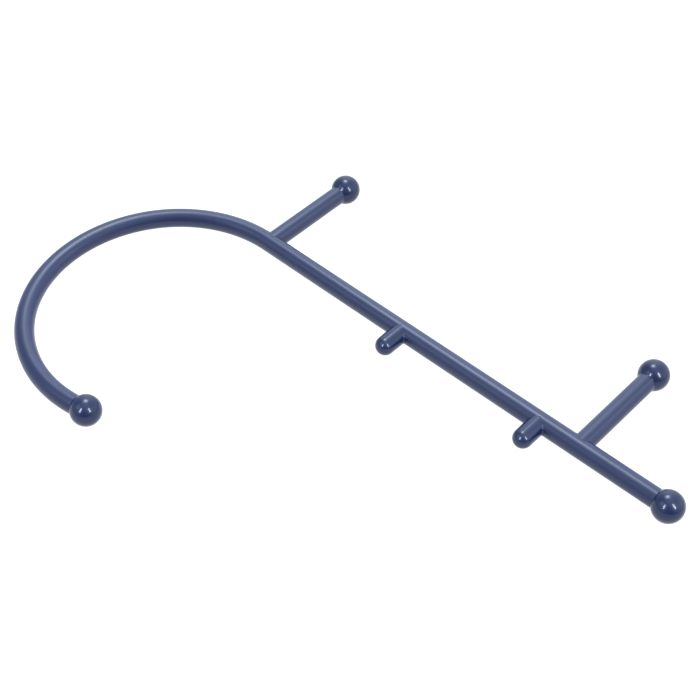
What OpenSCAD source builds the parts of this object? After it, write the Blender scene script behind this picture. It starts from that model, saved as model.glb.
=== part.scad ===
// Hooked self-massage cane: a bent tube with two long handles, two short pegs and four ball ends.
// It lies flat and rests on its four balls. Millimetres, with +Z up, +X along the shaft away from
// the hook and +Y towards the handles. The origin is under the middle of the cane's outline.

/* [Main tube] */
// Outer diameter of the hook and shaft tube
tube_d = 18; // [18:0.1:18.6]
// Inner diameter of the main tube and of both handle tubes
bore_d = 12; // [11:0.2:12.6]
// Radius of the hook, to the middle of the tube
hook_radius = 129; // [110:1:150]
// Angle that the hook turns through before its ball
hook_angle = 192.8; // [180:0.2:205]
// Straight length, from the end of the bend to the middle of the shaft's ball
shaft_length = 458; // [440:1:520]

/* [Handles] */
// Outer diameter of both handle tubes
handle_d = 17.8; // [17:0.1:17.8]
// Place of the upper handle along the shaft, from the end of the bend
upper_handle_x = 3.2; // [3.2:0.2:30]
// Place of the lower handle along the shaft, from the end of the bend
lower_handle_x = 368.8; // [365:0.2:385]
// Reach of the upper handle, from the middle of the shaft to the middle of its ball
upper_handle_reach = 105; // [80:0.5:130]
// Reach of the lower handle, from the middle of the shaft to the middle of its ball
lower_handle_reach = 108.5; // [80:0.5:130]

/* [Pegs] */
// Outer diameter of both pegs
peg_d = 18; // [17.1:0.1:18]
// Outer diameter of the slightly thicker root where each peg meets the shaft
peg_root_d = 18.1; // [18:0.1:18.1]
// Place of the upper peg along the shaft, from the end of the bend
upper_peg_x = 173; // [100:0.5:220]
// Place of the lower peg along the shaft, from the end of the bend
lower_peg_x = 328.7; // [320:0.1:335]
// Reach of both pegs, from the middle of the shaft to the tip
peg_reach = 32.9; // [30:0.1:45]

/* [Balls] */
// Diameter of the four balls
ball_d = 28.4; // [27:0.2:32]
// Distance from a ball's middle to the seat that a tube's end rests on
ball_seat = 6.6; // [6:0.1:8]
// Depth of a ball's dowel socket, past the ball's middle
ball_socket = 6.3; // [4:0.1:8]

/* [Hidden] */
$fn = 96;

tube_color = "#3d4876";
ball_color = "#2f3a69";
dowel_color = "#c9c4b4";
core_color = "#8f8b80";

glue_gap = 0.1;             // room for adhesive around every glued face
rod_edge = 0.8;             // chamfer on the ends of the dowels, studs and cores that fill a bore
neck_edge = 0.4;            // chamfer on the ends of the thinner cross dowels
end_clearance = 0.2;        // room past the end of a dowel in a blind hole
past = 1;                   // how far a cutting shape runs past what it cuts
overlap = 0.5;              // how far two shapes run into each other to become one solid

dowel_in_tube = 20;         // how far a ball's dowel reaches into its tube
neck_d = 7;                 // cross dowels, and the thin end of a handle's stud
neck_floor = 4;             // depth of a core's cross hole, past the core's middle
stud_shoulder = 9;          // where a stud gets thicker, from the middle of the shaft
stud_reach = 34;            // length of a stud, from the middle of the shaft
peg_hole_depth = 20;        // depth of a peg's dowel hole, from the middle of the shaft
root_top = 11.2;            // where a peg's thicker root ends, from the middle of the shaft
root_taper = 1;             // length of the cone at the top of that root
core_overhang = 13;         // how far a core runs past the middle of its cross hole
upper_core_start = -4;      // the upper handle's core stops here, where the bend begins
upper_core_end = 24;

tube_r = tube_d / 2;
ball_r = ball_d / 2;
rod_d = bore_d - 2 * glue_gap;
neck_hole_d = neck_d + 2 * glue_gap;

// Where the hook's tube ends, which way it points, and the middle of the ball beyond it
hook_end = hook_radius * [-sin(hook_angle), cos(hook_angle) - 1];
hook_heading = [-cos(hook_angle), -sin(hook_angle)];
hook_ball_middle = hook_end + ball_seat * hook_heading;

// Middle of the cane's outline, measured from the end of the bend
outline_low = [
    -hook_radius - tube_r,
    min(-2 * hook_radius - tube_r, hook_ball_middle[1] - ball_r)
];
outline_high = [
    shaft_length + ball_r,
    max(upper_handle_reach, lower_handle_reach) + ball_r
];
outline_middle = (outline_low + outline_high) / 2;

// Moves a shape that is measured from the end of the bend, on the tube's middle line
module placed() {
    translate([-outline_middle[0], -outline_middle[1], ball_r]) children();
}

// Each of these turns a shape's +Z: along the shaft, towards the handles, towards the pegs
module along_shaft(x = 0) {
    translate([x, 0, 0]) rotate([0, 90, 0]) children();
}

module towards_handles(x) {
    translate([x, 0, 0]) rotate([-90, 0, 0]) children();
}

module towards_pegs(x) {
    translate([x, 0, 0]) rotate([90, 0, 0]) children();
}

// Turns +Z out of the hook's open end, with the tube's end at the origin
module out_of_hook() {
    translate([hook_end[0], hook_end[1], 0])
        rotate([0, 0, atan2(hook_heading[1], hook_heading[0])])
            rotate([0, 90, 0]) children();
}

// Each of these puts a ball's own middle in its place, with +Z pointing out of the tube
module at_hook_ball() {
    placed() out_of_hook() translate([0, 0, ball_seat]) children();
}

module at_shaft_ball() {
    placed() along_shaft(shaft_length) children();
}

module at_upper_handle_ball() {
    placed() towards_handles(upper_handle_x) translate([0, 0, upper_handle_reach]) children();
}

module at_lower_handle_ball() {
    placed() towards_handles(lower_handle_x) translate([0, 0, lower_handle_reach]) children();
}

// The last part of the hook's bend, up to its open end
module bend(d, angle) {
    translate([0, -hook_radius, 0])
        rotate([0, 0, 90 + hook_angle - angle])
            rotate_extrude(angle = angle, $fn = 180)
                translate([hook_radius, 0]) circle(d = d, $fn = 96);
}

// A round rod along Z with both ends chamfered
module rod(d, from, to, chamfer) {
    r = d / 2;
    translate([0, 0, from])
        rotate_extrude()
            polygon([
                [0, 0], [r - chamfer, 0], [r, chamfer],
                [r, to - from - chamfer], [r - chamfer, to - from], [0, to - from]
            ]);
}

// The hole through the tube's near wall, along +Z from the middle of the shaft
module wall_hole() {
    cylinder(d = neck_hole_d, h = tube_r + past);
}

// The blind hole in a core, under the hole in the tube's wall
module core_hole() {
    translate([0, 0, -neck_floor]) cylinder(d = neck_hole_d, h = neck_floor + tube_r);
}

// The saddle that fits a handle or a peg against the shaft
module saddle_cut() {
    along_shaft(-2 * tube_d)
        cylinder(d = tube_d + 2 * glue_gap, h = shaft_length + 2 * tube_d);
}

module handle_tube(x, reach) {
    color(tube_color) placed() difference() {
        towards_handles(x) difference() {
            cylinder(d = handle_d, h = reach - ball_seat);
            translate([0, 0, -past]) cylinder(d = bore_d, h = reach + past);
        }
        saddle_cut();
    }
}

// A solid peg with a thicker root, a round nose and a blind dowel hole
module peg(x) {
    peg_r = peg_d / 2;
    root_r = peg_root_d / 2;
    color(tube_color) placed() difference() {
        towards_pegs(x) difference() {
            rotate_extrude() intersection() {
                union() {
                    translate([0, peg_reach - peg_r]) circle(r = peg_r);
                    polygon([
                        [0, 0], [root_r, 0], [root_r, root_top - root_taper],
                        [peg_r, root_top], [peg_r, peg_reach - peg_r], [0, peg_reach - peg_r]
                    ]);
                }
                square([peg_d, peg_reach + peg_r]);
            }
            translate([0, 0, -past]) cylinder(d = neck_hole_d, h = peg_hole_depth + past);
        }
        saddle_cut();
    }
}

// A ball about its own middle, with a counterbored socket for a tube's end below it
module ball(seated_tube_d) {
    color(ball_color) difference() {
        sphere(r = ball_r);
        translate([0, 0, -ball_r])
            cylinder(d = seated_tube_d + 2 * glue_gap, h = ball_r - ball_seat);
        translate([0, 0, -ball_r]) cylinder(d = bore_d, h = ball_r + ball_socket);
    }
}

// The dowel of a straight tube's ball, about the ball's middle
module ball_dowel() {
    color(dowel_color)
        rod(rod_d, -ball_seat - dowel_in_tube, ball_socket - end_clearance, rod_edge);
}

// A thin neck through the tube's wall, then a thick part that fills the handle's bore
module handle_stud(x) {
    color(dowel_color) placed() towards_handles(x) {
        rod(neck_d, -neck_floor + end_clearance, stud_shoulder + 2 * neck_edge, neck_edge);
        rod(rod_d, stud_shoulder, stud_reach, rod_edge);
    }
}

module peg_dowel(x) {
    color(dowel_color) placed() towards_pegs(x)
        rod(neck_d, -neck_floor + end_clearance, peg_hole_depth - end_clearance, neck_edge);
}

// A plug inside the shaft, drilled by its children
module core(from, to) {
    color(core_color) placed() difference() {
        along_shaft() rod(rod_d, from, to, rod_edge);
        children();
    }
}

module cane_tube() {
    color(tube_color) placed() difference() {
        union() {
            bend(tube_d, hook_angle);
            along_shaft() cylinder(d = tube_d, h = shaft_length - ball_seat);
        }
        bend(bore_d, hook_angle);
        along_shaft() cylinder(d = bore_d, h = shaft_length);
        towards_handles(upper_handle_x) wall_hole();
        towards_handles(lower_handle_x) wall_hole();
        towards_pegs(upper_peg_x) wall_hole();
        towards_pegs(lower_peg_x) wall_hole();
    }
}

module upper_handle_tube() {
    handle_tube(upper_handle_x, upper_handle_reach);
}

module lower_handle_tube() {
    handle_tube(lower_handle_x, lower_handle_reach);
}

module upper_peg() {
    peg(upper_peg_x);
}

module lower_peg() {
    peg(lower_peg_x);
}

module hook_ball() {
    at_hook_ball() ball(tube_d);
}

module shaft_ball() {
    at_shaft_ball() ball(tube_d);
}

module upper_handle_ball() {
    at_upper_handle_ball() ball(handle_d);
}

module lower_handle_ball() {
    at_lower_handle_ball() ball(handle_d);
}

// This dowel is straight inside the ball, and has a thinner tail that follows the bend
module hook_ball_dowel() {
    color(dowel_color) placed() {
        bend(rod_d - 2 * glue_gap, dowel_in_tube / hook_radius * 180 / PI);
        out_of_hook() translate([0, 0, -overlap])
            cylinder(d = rod_d, h = overlap + ball_seat + ball_socket - end_clearance);
    }
}

module shaft_ball_dowel() {
    at_shaft_ball() ball_dowel();
}

module upper_handle_ball_dowel() {
    at_upper_handle_ball() ball_dowel();
}

module lower_handle_ball_dowel() {
    at_lower_handle_ball() ball_dowel();
}

module upper_handle_stud() {
    handle_stud(upper_handle_x);
}

module lower_handle_stud() {
    handle_stud(lower_handle_x);
}

module upper_peg_dowel() {
    peg_dowel(upper_peg_x);
}

module lower_peg_dowel() {
    peg_dowel(lower_peg_x);
}

module upper_handle_core() {
    core(upper_core_start, upper_core_end) towards_handles(upper_handle_x) core_hole();
}

module upper_peg_core() {
    core(upper_peg_x - core_overhang, upper_peg_x + core_overhang)
        towards_pegs(upper_peg_x) core_hole();
}

// One core serves the lower peg and the lower handle, which are close together
module lower_joint_core() {
    core(lower_peg_x - core_overhang, lower_handle_x + core_overhang) {
        towards_pegs(lower_peg_x) core_hole();
        towards_handles(lower_handle_x) core_hole();
    }
}

cane_tube();
upper_handle_tube();
lower_handle_tube();
upper_peg();
lower_peg();
hook_ball();
shaft_ball();
upper_handle_ball();
lower_handle_ball();
hook_ball_dowel();
shaft_ball_dowel();
upper_handle_ball_dowel();
lower_handle_ball_dowel();
upper_handle_stud();
lower_handle_stud();
upper_peg_dowel();
lower_peg_dowel();
upper_handle_core();
upper_peg_core();
lower_joint_core();
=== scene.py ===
import math

import bmesh
import bpy
from mathutils import Matrix, Quaternion, Vector


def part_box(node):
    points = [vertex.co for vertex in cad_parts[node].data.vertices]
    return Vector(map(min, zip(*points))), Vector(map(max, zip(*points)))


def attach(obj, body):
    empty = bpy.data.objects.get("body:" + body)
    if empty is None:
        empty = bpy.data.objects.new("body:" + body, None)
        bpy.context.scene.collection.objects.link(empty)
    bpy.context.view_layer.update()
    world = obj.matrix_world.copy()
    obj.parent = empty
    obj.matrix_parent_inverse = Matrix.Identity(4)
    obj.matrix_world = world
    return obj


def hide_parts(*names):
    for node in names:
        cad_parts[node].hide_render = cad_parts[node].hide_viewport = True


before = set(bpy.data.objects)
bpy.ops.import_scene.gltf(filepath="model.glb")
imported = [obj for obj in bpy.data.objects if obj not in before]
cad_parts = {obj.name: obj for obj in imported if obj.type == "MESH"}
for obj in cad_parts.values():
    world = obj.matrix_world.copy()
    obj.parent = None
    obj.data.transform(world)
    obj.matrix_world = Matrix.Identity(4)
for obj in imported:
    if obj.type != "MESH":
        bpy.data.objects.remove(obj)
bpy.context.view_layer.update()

# ---- Sizes, in metres. What isn't named here is measured from the CAD frame ----

MM = 0.001
SIDES = 96                      # points round every tube, peg and ball
BEND_STEP = math.radians(1.5)   # spacing of the rings round the hook
STRAIGHT_STEP = 4 * MM          # spacing of the rings along the shaft
NEAR_HOLE_STEP = 0.9 * MM       # and where a cross hole is drilled
NEAR_HOLE = 6 * MM              # how far the closer rings run on each side of a hole
FOOT_FILLET = 1.1 * MM          # fillet where a handle or peg meets the shaft
BALL_FILLET = 0.9 * MM          # fillet where a ball's mouth meets its tube
FILLET_STEPS = 6
LIP = 0.04 * MM                 # thickness left at the thin edge of a fillet
SADDLE_FADE = 14 * MM           # over this height a saddle's rings become flat
EDGE = 0.35 * MM                # rounded edges on hidden rims
FOOT_RINGS = 12                 # rings in which a saddle fades
FIRST_FADE = 0.01               # and one more close above the fillet, as a share of the fade
HANDLE_RINGS = 18
PEG_RINGS = 8
PEG_PLAIN = 3 * MM              # a peg keeps its root's radius this far above the shaft
PEG_TAPER = 0.05 * MM           # how much less its nose's radius is
NOSE_STEPS = 24
BALL_STEPS = 60
WELD = 1e-7
CREASE = math.radians(32)       # edges sharper than this stay sharp

# ---- The cane, measured from the CAD frame ----

tube_low, tube_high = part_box("cane_tube")
TUBE_R = (tube_high.z - tube_low.z) / 2
LEVEL = (tube_high.z + tube_low.z) / 2
SHAFT_Y = tube_high.y - TUBE_R
HOOK_R = (tube_high.y - tube_low.y) / 2 - TUBE_R
BEND_X = tube_low.x + TUBE_R + HOOK_R

DOWEL_R = (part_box("shaft_ball_dowel")[1].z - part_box("shaft_ball_dowel")[0].z) / 2
NECK_R = (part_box("upper_peg_dowel")[1].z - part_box("upper_peg_dowel")[0].z) / 2
GAP = 0.1 * MM                  # the glue gap that the CAD leaves at each joint
BORE_R = DOWEL_R + GAP
NECK_HOLE_R = NECK_R + GAP

hook_low, hook_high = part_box("hook_ball")
BALL_R = (hook_high.z - hook_low.z) / 2
HOOK_BALL = Vector((hook_high.x - BALL_R, hook_low.y + BALL_R, LEVEL))
SHAFT_BALL = Vector((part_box("shaft_ball")[1].x - BALL_R, SHAFT_Y, LEVEL))
BALL_SEAT = SHAFT_BALL.x - tube_high.x
BALL_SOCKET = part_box("shaft_ball_dowel")[1].x - SHAFT_BALL.x + 2 * GAP
HOOK_CENTRE = Vector((BEND_X, SHAFT_Y - HOOK_R, LEVEL))

UP = Vector((0, 0, 1))


def hook_turn():
    """The angle that the hook turns through, from the shaft to the tube's end inside its ball."""
    to_ball = HOOK_BALL - HOOK_CENTRE
    ball_turn = math.atan2(to_ball.y, to_ball.x) - math.pi / 2
    return ball_turn % (2 * math.pi) - math.atan(BALL_SEAT / HOOK_R)


def middle_x(node):
    low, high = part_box(node)
    return (low.x + high.x) / 2


# ---- Mesh helpers ----

def axes_at(point, direction):
    """A frame at point whose Z is direction and whose X lies across it in the cane's own plane."""
    z = direction.normalized()
    x = UP.cross(z).normalized()
    y = z.cross(x)
    return Matrix((x, y, z)).transposed(), point


def placed(frame_at, x, y, z):
    turn, point = frame_at
    return point + turn @ Vector((x, y, z))


def join_rings(bm, rings, closed):
    """Quads between each ring and the next, and from the last to the first if closed.

    A ring of one point is a pole."""
    made = [[bm.verts.new(p) for p in ring] for ring in rings]
    pairs = list(zip(made, made[1:]))
    if closed:
        pairs.append((made[-1], made[0]))
    for a, b in pairs:
        for i in range(max(len(a), len(b))):
            j = i + 1
            if len(a) == 1:
                bm.faces.new((a[0], b[j % len(b)], b[i]))
            elif len(b) == 1:
                bm.faces.new((a[i], a[j % len(a)], b[0]))
            else:
                bm.faces.new((a[i], a[j % len(a)], b[j % len(b)], b[i]))


def lathe(bm, frame_at, profile, closed=False):
    """Turns a profile round the frame's Z.

    Each of its items is a (radius, height) point, or a function of the angle that gives one."""
    rings = []
    for spot in profile:
        if not callable(spot) and spot[0] == 0:
            rings.append([placed(frame_at, 0, 0, spot[1])])
            continue
        ring = []
        for i in range(SIDES):
            turn = 2 * math.pi * i / SIDES
            r, h = spot(turn) if callable(spot) else spot
            ring.append(placed(frame_at, r * math.cos(turn), r * math.sin(turn), h))
        rings.append(ring)
    join_rings(bm, rings, closed)


def arc(centre, radius, start, end, steps):
    """Points (radius, height) round part of a circle, with angles in degrees."""
    points = []
    for i in range(steps + 1):
        a = math.radians(start + (end - start) * i / steps)
        points.append((centre[0] + radius * math.cos(a), centre[1] + radius * math.sin(a)))
    return points


def finished(name, bm, material, node):
    """Makes bm a smooth piece that stands for the CAD node and rides with the cane."""
    bmesh.ops.recalc_face_normals(bm, faces=bm.faces)
    mesh = bpy.data.meshes.new(name)
    bm.to_mesh(mesh)
    bm.free()
    for face in mesh.polygons:
        face.use_smooth = True
    mesh.set_sharp_from_angle(angle=CREASE)
    mesh.materials.append(material)
    piece = bpy.data.objects.new(name, mesh)
    bpy.context.scene.collection.objects.link(piece)
    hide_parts(node)
    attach(piece, "root")
    return piece


# ---- Pieces ----

def tube_stations():
    """(point, direction) along the main tube's middle line, from the hook's end to the shaft's end."""
    turn = hook_turn()
    steps = round(turn / BEND_STEP)
    stations = []
    for i in range(steps):
        a = turn * (1 - i / steps)
        spoke = Vector((-math.sin(a), math.cos(a), 0))
        stations.append((HOOK_CENTRE + HOOK_R * spoke, Vector((math.cos(a), math.sin(a), 0))))
    holes = [middle_x(n) for n in ("upper_handle_tube", "upper_peg", "lower_peg", "lower_handle_tube")]
    x = BEND_X
    while x < tube_high.x - NEAR_HOLE_STEP:
        stations.append((Vector((x, SHAFT_Y, LEVEL)), Vector((1, 0, 0))))
        near = any(abs(x + STRAIGHT_STEP / 2 - h) < NEAR_HOLE + STRAIGHT_STEP / 2 for h in holes)
        x += NEAR_HOLE_STEP if near else STRAIGHT_STEP
    stations.append((Vector((tube_high.x, SHAFT_Y, LEVEL)), Vector((1, 0, 0))))
    return stations


def tube_ring(station, radius):
    point, direction = station
    across = UP.cross(direction)
    ring = []
    for i in range(SIDES):
        a = 2 * math.pi * i / SIDES
        ring.append(point + radius * (math.cos(a) * across + math.sin(a) * UP))
    return ring


def drill(bm, spots):
    """Cuts a round cross hole at each (x, direction) through the tube's near wall."""
    mesh = bpy.data.meshes.new("drilled")
    bmesh.ops.recalc_face_normals(bm, faces=bm.faces)
    bm.to_mesh(mesh)
    blank = bpy.data.objects.new("drilled", mesh)
    bpy.context.scene.collection.objects.link(blank)
    cutters = []
    for x, way in spots:
        cut = bmesh.new()
        spot = axes_at(Vector((x, SHAFT_Y, LEVEL)), Vector((0, way, 0)))
        lathe(cut, spot, [(0, 0), (NECK_HOLE_R, 0), (NECK_HOLE_R, 2 * TUBE_R), (0, 2 * TUBE_R)])
        bmesh.ops.recalc_face_normals(cut, faces=cut.faces)
        cutter_mesh = bpy.data.meshes.new("cutter")
        cut.to_mesh(cutter_mesh)
        cut.free()
        cutter = bpy.data.objects.new("cutter", cutter_mesh)
        bpy.context.scene.collection.objects.link(cutter)
        modifier = blank.modifiers.new("hole", "BOOLEAN")
        modifier.object = cutter
        modifier.operation = "DIFFERENCE"
        modifier.solver = "EXACT"
        cutters.append(cutter)
    depsgraph = bpy.context.evaluated_depsgraph_get()
    drilled = bpy.data.meshes.new_from_object(blank.evaluated_get(depsgraph))
    bm.clear()
    bm.from_mesh(drilled)
    for thing in [blank, *cutters]:
        bpy.data.objects.remove(thing)


def cane_tube(material):
    bm = bmesh.new()
    stations = tube_stations()
    outside = [tube_ring(s, TUBE_R) for s in stations]
    inside = [tube_ring(s, BORE_R) for s in reversed(stations)]
    join_rings(bm, outside + inside, closed=True)
    drill(bm, [
        (middle_x("upper_handle_tube"), 1),
        (middle_x("lower_handle_tube"), 1),
        (middle_x("upper_peg"), -1),
        (middle_x("lower_peg"), -1),
    ])
    return finished("cane_tube_finish", bm, material, "cane_tube")


def saddle_height(across, radius):
    """Height above the shaft's middle of a saddle of this radius, at this distance across it."""
    return math.sqrt(max(radius * radius - across * across, 0))


def foot(radius, reach_up):
    """The rings at a handle's or peg's foot, from its edge on the shaft up to reach_up.

    A small fillet spreads along the shaft where the two surfaces meet squarely, and dies away
    at the sides."""
    seat = TUBE_R + GAP
    rings = []
    for k in range(FILLET_STEPS + 1):
        a = math.pi / 2 * k / FILLET_STEPS

        def fillet_ring(turn, a=a):
            # X of the frame lies along the shaft, Y is up and down
            spread = FOOT_FILLET * math.cos(turn) ** 2
            r = radius + (spread + LIP) * (1 - math.sin(a))
            lift = spread * (1 - math.cos(a))
            return r, saddle_height(r * math.sin(turn), seat) + LIP + lift

        rings.append(fillet_ring)
    top = rings[-1]
    for share in (FIRST_FADE, *(k / FOOT_RINGS for k in range(1, FOOT_RINGS + 1))):

        def fading_ring(turn, share=share):
            start = top(turn)[1]
            return radius, start + (reach_up - start) * share

        rings.append(fading_ring)
    return rings


def foot_seat(radius, bore):
    """The saddle's own face against the shaft, from the bore out to the foot's edge."""
    seat = TUBE_R + GAP
    return [
        lambda turn: (bore, saddle_height(bore * math.sin(turn), seat)),
        lambda turn: (
            radius + FOOT_FILLET * math.cos(turn) ** 2,
            saddle_height((radius + FOOT_FILLET * math.cos(turn) ** 2) * math.sin(turn), seat),
        ),
    ]


def handle(node, material):
    low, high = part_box(node)
    radius = (high.z - low.z) / 2
    spot = axes_at(Vector((middle_x(node), SHAFT_Y, LEVEL)), Vector((0, 1, 0)))
    length = high.y - SHAFT_Y
    plain = TUBE_R + SADDLE_FADE
    profile = foot_seat(radius, BORE_R) + foot(radius, plain)
    for i in range(1, HANDLE_RINGS + 1):
        profile.append((radius, plain + (length - EDGE - plain) * i / HANDLE_RINGS))
    profile.append((radius - EDGE, length))
    profile.append((BORE_R, length))
    bm = bmesh.new()
    lathe(bm, spot, profile, closed=True)
    return finished(node + "_finish", bm, material, node)


def peg(node, material):
    low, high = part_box(node)
    root_r = (high.z - low.z) / 2
    nose_r = root_r - PEG_TAPER
    reach = SHAFT_Y - low.y
    spot = axes_at(Vector((middle_x(node), SHAFT_Y, LEVEL)), Vector((0, -1, 0)))
    nose = reach - nose_r
    hole_top = SHAFT_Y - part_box(node + "_dowel")[0].y + 2 * GAP
    taper = TUBE_R + PEG_PLAIN
    profile = foot_seat(root_r, NECK_HOLE_R) + foot(root_r, taper)
    for i in range(1, PEG_RINGS + 1):
        share = i / PEG_RINGS
        ease = share * share * (3 - 2 * share)
        profile.append((root_r + (nose_r - root_r) * ease, taper + (nose - taper) * share))
    profile += arc((0, nose), nose_r, 0, 90, NOSE_STEPS)[1:-1]
    profile.append((0, reach))
    bm = bmesh.new()
    lathe(bm, spot, profile)
    lathe(bm, spot, [profile[0], (NECK_HOLE_R, hole_top), (0, hole_top)])
    bmesh.ops.remove_doubles(bm, verts=bm.verts, dist=WELD)
    return finished(node + "_finish", bm, material, node)


def ball(node, at, outward, seated_r, material):
    """A ball on the end of a tube. Its mouth runs out onto the tube in a small fillet."""
    spot = axes_at(at, outward)
    mouth_r = seated_r + GAP
    fillet = Vector((mouth_r + LIP + BALL_FILLET, 0))
    fillet.y = -math.sqrt((BALL_R + BALL_FILLET) ** 2 - fillet.x ** 2)
    touch = math.degrees(math.atan2(fillet.y, fillet.x))
    profile = [
        (0, BALL_SOCKET),
        (BORE_R, BALL_SOCKET),
        (BORE_R, -BALL_SEAT),
        (mouth_r, -BALL_SEAT),
        (mouth_r, fillet.y),
    ]
    profile += arc(fillet, BALL_FILLET, 180, 180 + touch, FILLET_STEPS)
    profile += arc((0, 0), BALL_R, touch, 90, BALL_STEPS)[1:-1]
    profile.append((0, BALL_R))
    bm = bmesh.new()
    lathe(bm, spot, profile)
    return finished(node + "_finish", bm, material, node)


# ---- Materials ----

CLOUDS = 60                     # features a metre in each field of noise
SMUDGES = 45
RUBS = 900
PEEL = 2500
WAVES = 60
SPECKLES = 1500
DULL_PATCHES = 120
GRAIN = 2200


def shader(name):
    material = bpy.data.materials.new(name)
    material.use_nodes = True
    tree = material.node_tree
    return material, tree, tree.nodes["Principled BSDF"]


def noise(tree, scale, detail=3.0, stretch=(1, 1, 1)):
    """A noise field with about `scale` features a metre, stretched along the row's axes."""
    where = tree.nodes.new("ShaderNodeTexCoord")
    mapping = tree.nodes.new("ShaderNodeMapping")
    mapping.inputs["Scale"].default_value = stretch
    field = tree.nodes.new("ShaderNodeTexNoise")
    field.inputs["Scale"].default_value = scale
    field.inputs["Detail"].default_value = detail
    tree.links.new(where.outputs["Object"], mapping.inputs["Vector"])
    tree.links.new(mapping.outputs["Vector"], field.inputs["Vector"])
    return field.outputs["Fac"]


def spread(tree, value, low, high, to_low, to_high):
    """value between low and high, mapped to between to_low and to_high and held there."""
    node = tree.nodes.new("ShaderNodeMapRange")
    node.inputs["From Min"].default_value = low
    node.inputs["From Max"].default_value = high
    node.inputs["To Min"].default_value = to_low
    node.inputs["To Max"].default_value = to_high
    tree.links.new(value, node.inputs["Value"])
    return node.outputs["Result"]


def mixed(tree, factor, a, b):
    node = tree.nodes.new("ShaderNodeMix")
    node.data_type = "RGBA"
    tree.links.new(factor, node.inputs["Factor"])
    for socket, colour in ((node.inputs["A"], a), (node.inputs["B"], b)):
        if isinstance(colour, tuple):
            socket.default_value = (*colour, 1)
        else:
            tree.links.new(colour, socket)
    return node.outputs["Result"]


def added(tree, a, b):
    node = tree.nodes.new("ShaderNodeMath")
    node.operation = "ADD"
    tree.links.new(a, node.inputs[0])
    tree.links.new(b, node.inputs[1])
    return node.outputs["Value"]


def bump(tree, height, strength, distance, under=None):
    node = tree.nodes.new("ShaderNodeBump")
    node.inputs["Strength"].default_value = strength
    node.inputs["Distance"].default_value = distance
    tree.links.new(height, node.inputs["Height"])
    if under:
        tree.links.new(under, node.inputs["Normal"])
    return node.outputs["Normal"]


def navy_plastic(name, colour, roughness, ior=1.5):
    """Moulded navy plastic: cloudy pigment, a faint orange-peel skin, smudges and a few fine rubs."""
    material, tree, skin = shader(name)
    darker = tuple(c * 0.9 for c in colour)
    lighter = tuple(c * 1.1 for c in colour)
    cloud = spread(tree, noise(tree, CLOUDS), 0.3, 0.7, 0, 1)
    pigment = mixed(tree, cloud, darker, lighter)
    rubbed = spread(tree, noise(tree, RUBS, 2, (0.12, 1, 1)), 0.72, 0.8, 0, 0.35)
    worn = tuple(c * 1.5 + 0.004 for c in colour)
    tree.links.new(mixed(tree, rubbed, pigment, worn), skin.inputs["Base Color"])
    smudge = spread(tree, noise(tree, SMUDGES, 1), 0.3, 0.7, roughness * 0.94, roughness * 1.06)
    tree.links.new(added(tree, smudge, spread(tree, rubbed, 0, 1, 0, 0.06)), skin.inputs["Roughness"])
    skin.inputs["IOR"].default_value = ior
    peel = bump(tree, noise(tree, PEEL, 2), 0.05, 0.01 * MM)
    waves = bump(tree, noise(tree, WAVES, 1), 0.12, 0.05 * MM, peel)
    tree.links.new(waves, skin.inputs["Normal"])
    return material


def inner_plastic(name, colour, roughness):
    """Plain plastic for the pieces inside: speckled and dull, with a fine even grain."""
    material, tree, skin = shader(name)
    speckle = spread(tree, noise(tree, SPECKLES, 2), 0.45, 0.65, 0, 1)
    tree.links.new(
        mixed(tree, speckle, tuple(c * 0.86 for c in colour), colour), skin.inputs["Base Color"])
    tree.links.new(
        spread(tree, noise(tree, DULL_PATCHES), 0.3, 0.7, roughness - 0.08, roughness + 0.08),
        skin.inputs["Roughness"])
    tree.links.new(bump(tree, noise(tree, GRAIN, 2), 0.4, 0.03 * MM), skin.inputs["Normal"])
    return material


# ---- The cane ----

tube_navy = navy_plastic("navy_tube", (0.006, 0.013, 0.060), 0.33)
ball_navy = navy_plastic("navy_ball", (0.004, 0.0085, 0.036), 0.19, 1.44)
peg_navy = navy_plastic("navy_peg", (0.004, 0.009, 0.038), 0.21, 1.46)
natural = inner_plastic("natural_dowel", (0.58, 0.55, 0.46), 0.6)
grey = inner_plastic("grey_core", (0.27, 0.26, 0.22), 0.65)

polished = bpy.data.collections.new("polished_pieces")
satin = bpy.data.collections.new("satin_pieces")

satin.objects.link(cane_tube(tube_navy))
for handle_node, its_ball in (
    ("upper_handle_tube", "upper_handle_ball"),
    ("lower_handle_tube", "lower_handle_ball"),
):
    satin.objects.link(handle(handle_node, tube_navy))
    handle_r = (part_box(handle_node)[1].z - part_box(handle_node)[0].z) / 2
    end = Vector((middle_x(its_ball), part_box(its_ball)[1].y - BALL_R, LEVEL))
    polished.objects.link(ball(its_ball, end, Vector((0, 1, 0)), handle_r, ball_navy))
for peg_node in ("upper_peg", "lower_peg"):
    polished.objects.link(peg(peg_node, peg_navy))
polished.objects.link(ball("shaft_ball", SHAFT_BALL, Vector((1, 0, 0)), TUBE_R, ball_navy))
end_turn = hook_turn()
out_of_hook = Vector((-math.cos(end_turn), -math.sin(end_turn), 0))
polished.objects.link(ball("hook_ball", HOOK_BALL, out_of_hook, TUBE_R, ball_navy))

for node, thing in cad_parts.items():
    if node.endswith("_core"):
        thing.material_slots[0].material = grey
    elif node.endswith(("_dowel", "_stud")):
        thing.material_slots[0].material = natural

# ---- Studio ----

AIM = Vector((-0.0133, 0.0233, LEVEL))
CAMERA_AZIMUTH = 43.84
CAMERA_ELEVATION = 47.67
CAMERA_DISTANCE = 1.2279
CAMERA_ROLL = -0.9
LENS = 71.08                    # on a 36 mm sensor

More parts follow.
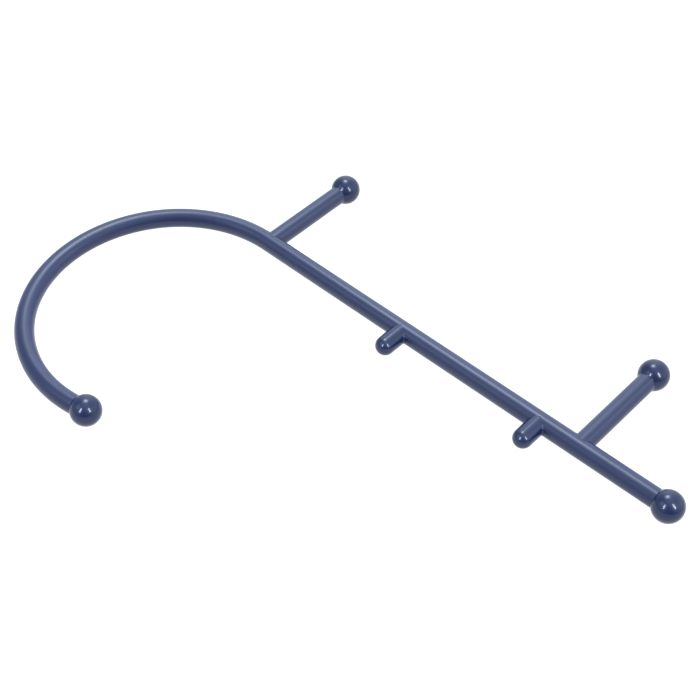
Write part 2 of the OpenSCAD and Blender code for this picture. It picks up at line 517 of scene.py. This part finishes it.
ROOM_COLOUR = (0.78, 0.89, 1.0, 1)
ROOM_LEVEL = 0.28
WALLS = (                       # (azimuth, elevation, how tightly its light is gathered, level)
    (135, 10, 4, 1.60),         # right wall
    (180, 10, 4, 0.28),         # corner between them
    (225, 10, 4, 1.36),         # back wall
    (315, 10, 4, 0.72),         # left wall
    (0, 10, 4, 0.38),           # behind the camera, on the left
    (90, 10, 4, 0.18),          # behind the camera, on the right
    (90, 48, 6, 1.14),          # above the right wall
    (210, 48, 6, 1.76),         # above the back wall
    (330, 48, 6, 0.37),         # above the left wall
    (0, 90, 8, 1.35),           # ceiling
)
TABLE_GLOW = (1.12, 0.42)       # the white table's own light, under the cane and far from it
TABLE_EDGE = (0.2, 1.3)         # distances between which it fades
LAMP_COLOUR = (0.78, 0.89, 1.0)
TOP_LIGHT = Vector((-0.90, 0.92, 2.47))
TOP_GLOW = Vector((-0.93, 0.87, 2.45))
LEFT_FILL = Vector((-0.95, -1.45, 1.65))
RIGHT_FILL = Vector((1.55, 1.38, 1.42))
ALONG_SHAFT = -41                # degrees that turn the top lamp's long side parallel to the shaft
LEFT_STRIP = (2, 39)             # azimuth and elevation of the two strips that show on the balls
RIGHT_STRIP = (86.5, 40)
STRIP_DISTANCE = 2.4
FLOOR_SIZE = 40
EXPOSURE = 0.05


def from_angles(azimuth, elevation):
    a, e = math.radians(azimuth), math.radians(elevation)
    return Vector((math.sin(a) * math.cos(e), -math.cos(a) * math.cos(e), math.sin(e)))


def strip_at(angles):
    return AIM + from_angles(*angles) * STRIP_DISTANCE


def make_camera():
    data = bpy.data.cameras.new("camera")
    data.lens = LENS
    data.clip_start = 0.01
    data.clip_end = 50
    camera = bpy.data.objects.new("camera", data)
    back = from_angles(CAMERA_AZIMUTH, CAMERA_ELEVATION)
    camera.location = AIM + back * CAMERA_DISTANCE
    turn = (-back).to_track_quat("-Z", "Y").to_matrix().to_4x4()
    roll = Matrix.Rotation(math.radians(CAMERA_ROLL), 4, "Z")
    camera.rotation_euler = (turn @ roll).to_euler()
    bpy.context.scene.collection.objects.link(camera)
    bpy.context.scene.camera = camera


def soft_light(name, at, width, height, watts, only_on=None, roll=0):
    """A rectangular lamp that faces the cane. With only_on, it lights that collection alone."""
    data = bpy.data.lights.new(name, "AREA")
    data.shape = "RECTANGLE"
    data.size = width
    data.size_y = height
    data.energy = watts
    data.color = LAMP_COLOUR
    light = bpy.data.objects.new(name, data)
    light.location = at
    turn = (AIM - at).to_track_quat("-Z", "Y") @ Quaternion((0, 0, 1), math.radians(roll))
    light.rotation_euler = turn.to_euler()
    light.visible_camera = False
    if only_on:
        light.light_linking.receiver_collection = only_on
    bpy.context.scene.collection.objects.link(light)


def seen_directly(tree):
    """1 for a ray that comes straight from the camera, and 0 for light on its way to the cane."""
    return tree.nodes.new("ShaderNodeLightPath").outputs["Is Camera Ray"]


def make_floor():
    """A white table that glows less far from the cane. Looked at directly, it is plain white."""
    bm = bmesh.new()
    bmesh.ops.create_grid(bm, x_segments=1, y_segments=1, size=FLOOR_SIZE)
    mesh = bpy.data.meshes.new("floor")
    bm.to_mesh(mesh)
    bm.free()
    material, tree, surface = shader("floor_white")
    material.cycles.emission_sampling = "NONE"   # so wide a glow is found without aiming at it
    surface.inputs["Base Color"].default_value = (0.2, 0.2, 0.2, 1)
    surface.inputs["Roughness"].default_value = 0.9
    surface.inputs["Specular IOR Level"].default_value = 0
    surface.inputs["Emission Color"].default_value = (0.95, 0.98, 1, 1)
    place = tree.nodes.new("ShaderNodeNewGeometry")
    away = tree.nodes.new("ShaderNodeVectorMath")
    away.operation = "LENGTH"
    tree.links.new(place.outputs["Position"], away.inputs[0])
    glow = spread(tree, away.outputs["Value"], *TABLE_EDGE, *TABLE_GLOW)
    pick = tree.nodes.new("ShaderNodeMix")
    pick.inputs["B"].default_value = 1.0
    tree.links.new(seen_directly(tree), pick.inputs["Factor"])
    tree.links.new(glow, pick.inputs["A"])
    tree.links.new(pick.outputs["Result"], surface.inputs["Emission Strength"])
    mesh.materials.append(material)
    floor = bpy.data.objects.new("floor", mesh)
    bpy.context.scene.collection.objects.link(floor)


def make_world():
    """A pale room whose walls and ceiling glow unevenly; it is dimmest round the camera's side.

    Looked at directly, it is a plain white backdrop."""
    world = bpy.data.worlds.new("studio")
    bpy.context.scene.world = world
    world.use_nodes = True
    world.cycles.sampling_method = "NONE"        # as with the floor
    tree = world.node_tree
    sky = tree.nodes["Background"]
    sky.inputs["Color"].default_value = ROOM_COLOUR
    room = None
    for azimuth, elevation, tightness, level in WALLS:
        near = power(tree, facing(tree, from_angles(azimuth, elevation)), tightness)
        base = 0 if room else ROOM_LEVEL         # the first wall brings the room's own level with it
        wall = spread(tree, near, 0, 1, base, base + level)
        room = added(tree, room, wall) if room else wall
    tree.links.new(room, sky.inputs["Strength"])
    backdrop = tree.nodes.new("ShaderNodeBackground")
    pick = tree.nodes.new("ShaderNodeMixShader")
    backdrop.inputs["Color"].default_value = (1, 1, 1, 1)
    tree.links.new(seen_directly(tree), pick.inputs["Fac"])
    tree.links.new(sky.outputs["Background"], pick.inputs[1])
    tree.links.new(backdrop.outputs["Background"], pick.inputs[2])
    tree.links.new(pick.outputs["Shader"], tree.nodes["World Output"].inputs["Surface"])


def facing(tree, way):
    """How closely the direction being looked up faces way: 1 along it, 0 across it or behind."""
    where = tree.nodes.new("ShaderNodeTexCoord")
    dot = tree.nodes.new("ShaderNodeVectorMath")
    dot.operation = "DOT_PRODUCT"
    dot.inputs[1].default_value = way
    tree.links.new(where.outputs["Generated"], dot.inputs[0])
    return spread(tree, dot.outputs["Value"], 0, 1, 0, 1)


def power(tree, value, exponent):
    node = tree.nodes.new("ShaderNodeMath")
    node.operation = "POWER"
    node.inputs[1].default_value = exponent
    tree.links.new(value, node.inputs[0])
    return node.outputs["Value"]


make_camera()
make_floor()
make_world()
soft_light("top_light", TOP_LIGHT, 1.2, 0.3, 20, satin, ALONG_SHAFT)
soft_light("top_sheet", TOP_LIGHT, 0.8, 0.8, 25, polished)
soft_light("top_glow", TOP_GLOW, 1.4, 1.4, 16.5)
soft_light("left_fill", LEFT_FILL, 1.0, 1.0, 4.8)
soft_light("right_fill", RIGHT_FILL, 0.35, 0.35, 2.3, satin)
soft_light("left_strip", strip_at(LEFT_STRIP), 0.2, 1.15, 36, polished)
soft_light("right_strip", strip_at(RIGHT_STRIP), 0.2, 1.25, 39, polished)
bpy.context.scene.view_settings.view_transform = "Standard"
bpy.context.scene.view_settings.exposure = EXPOSURE
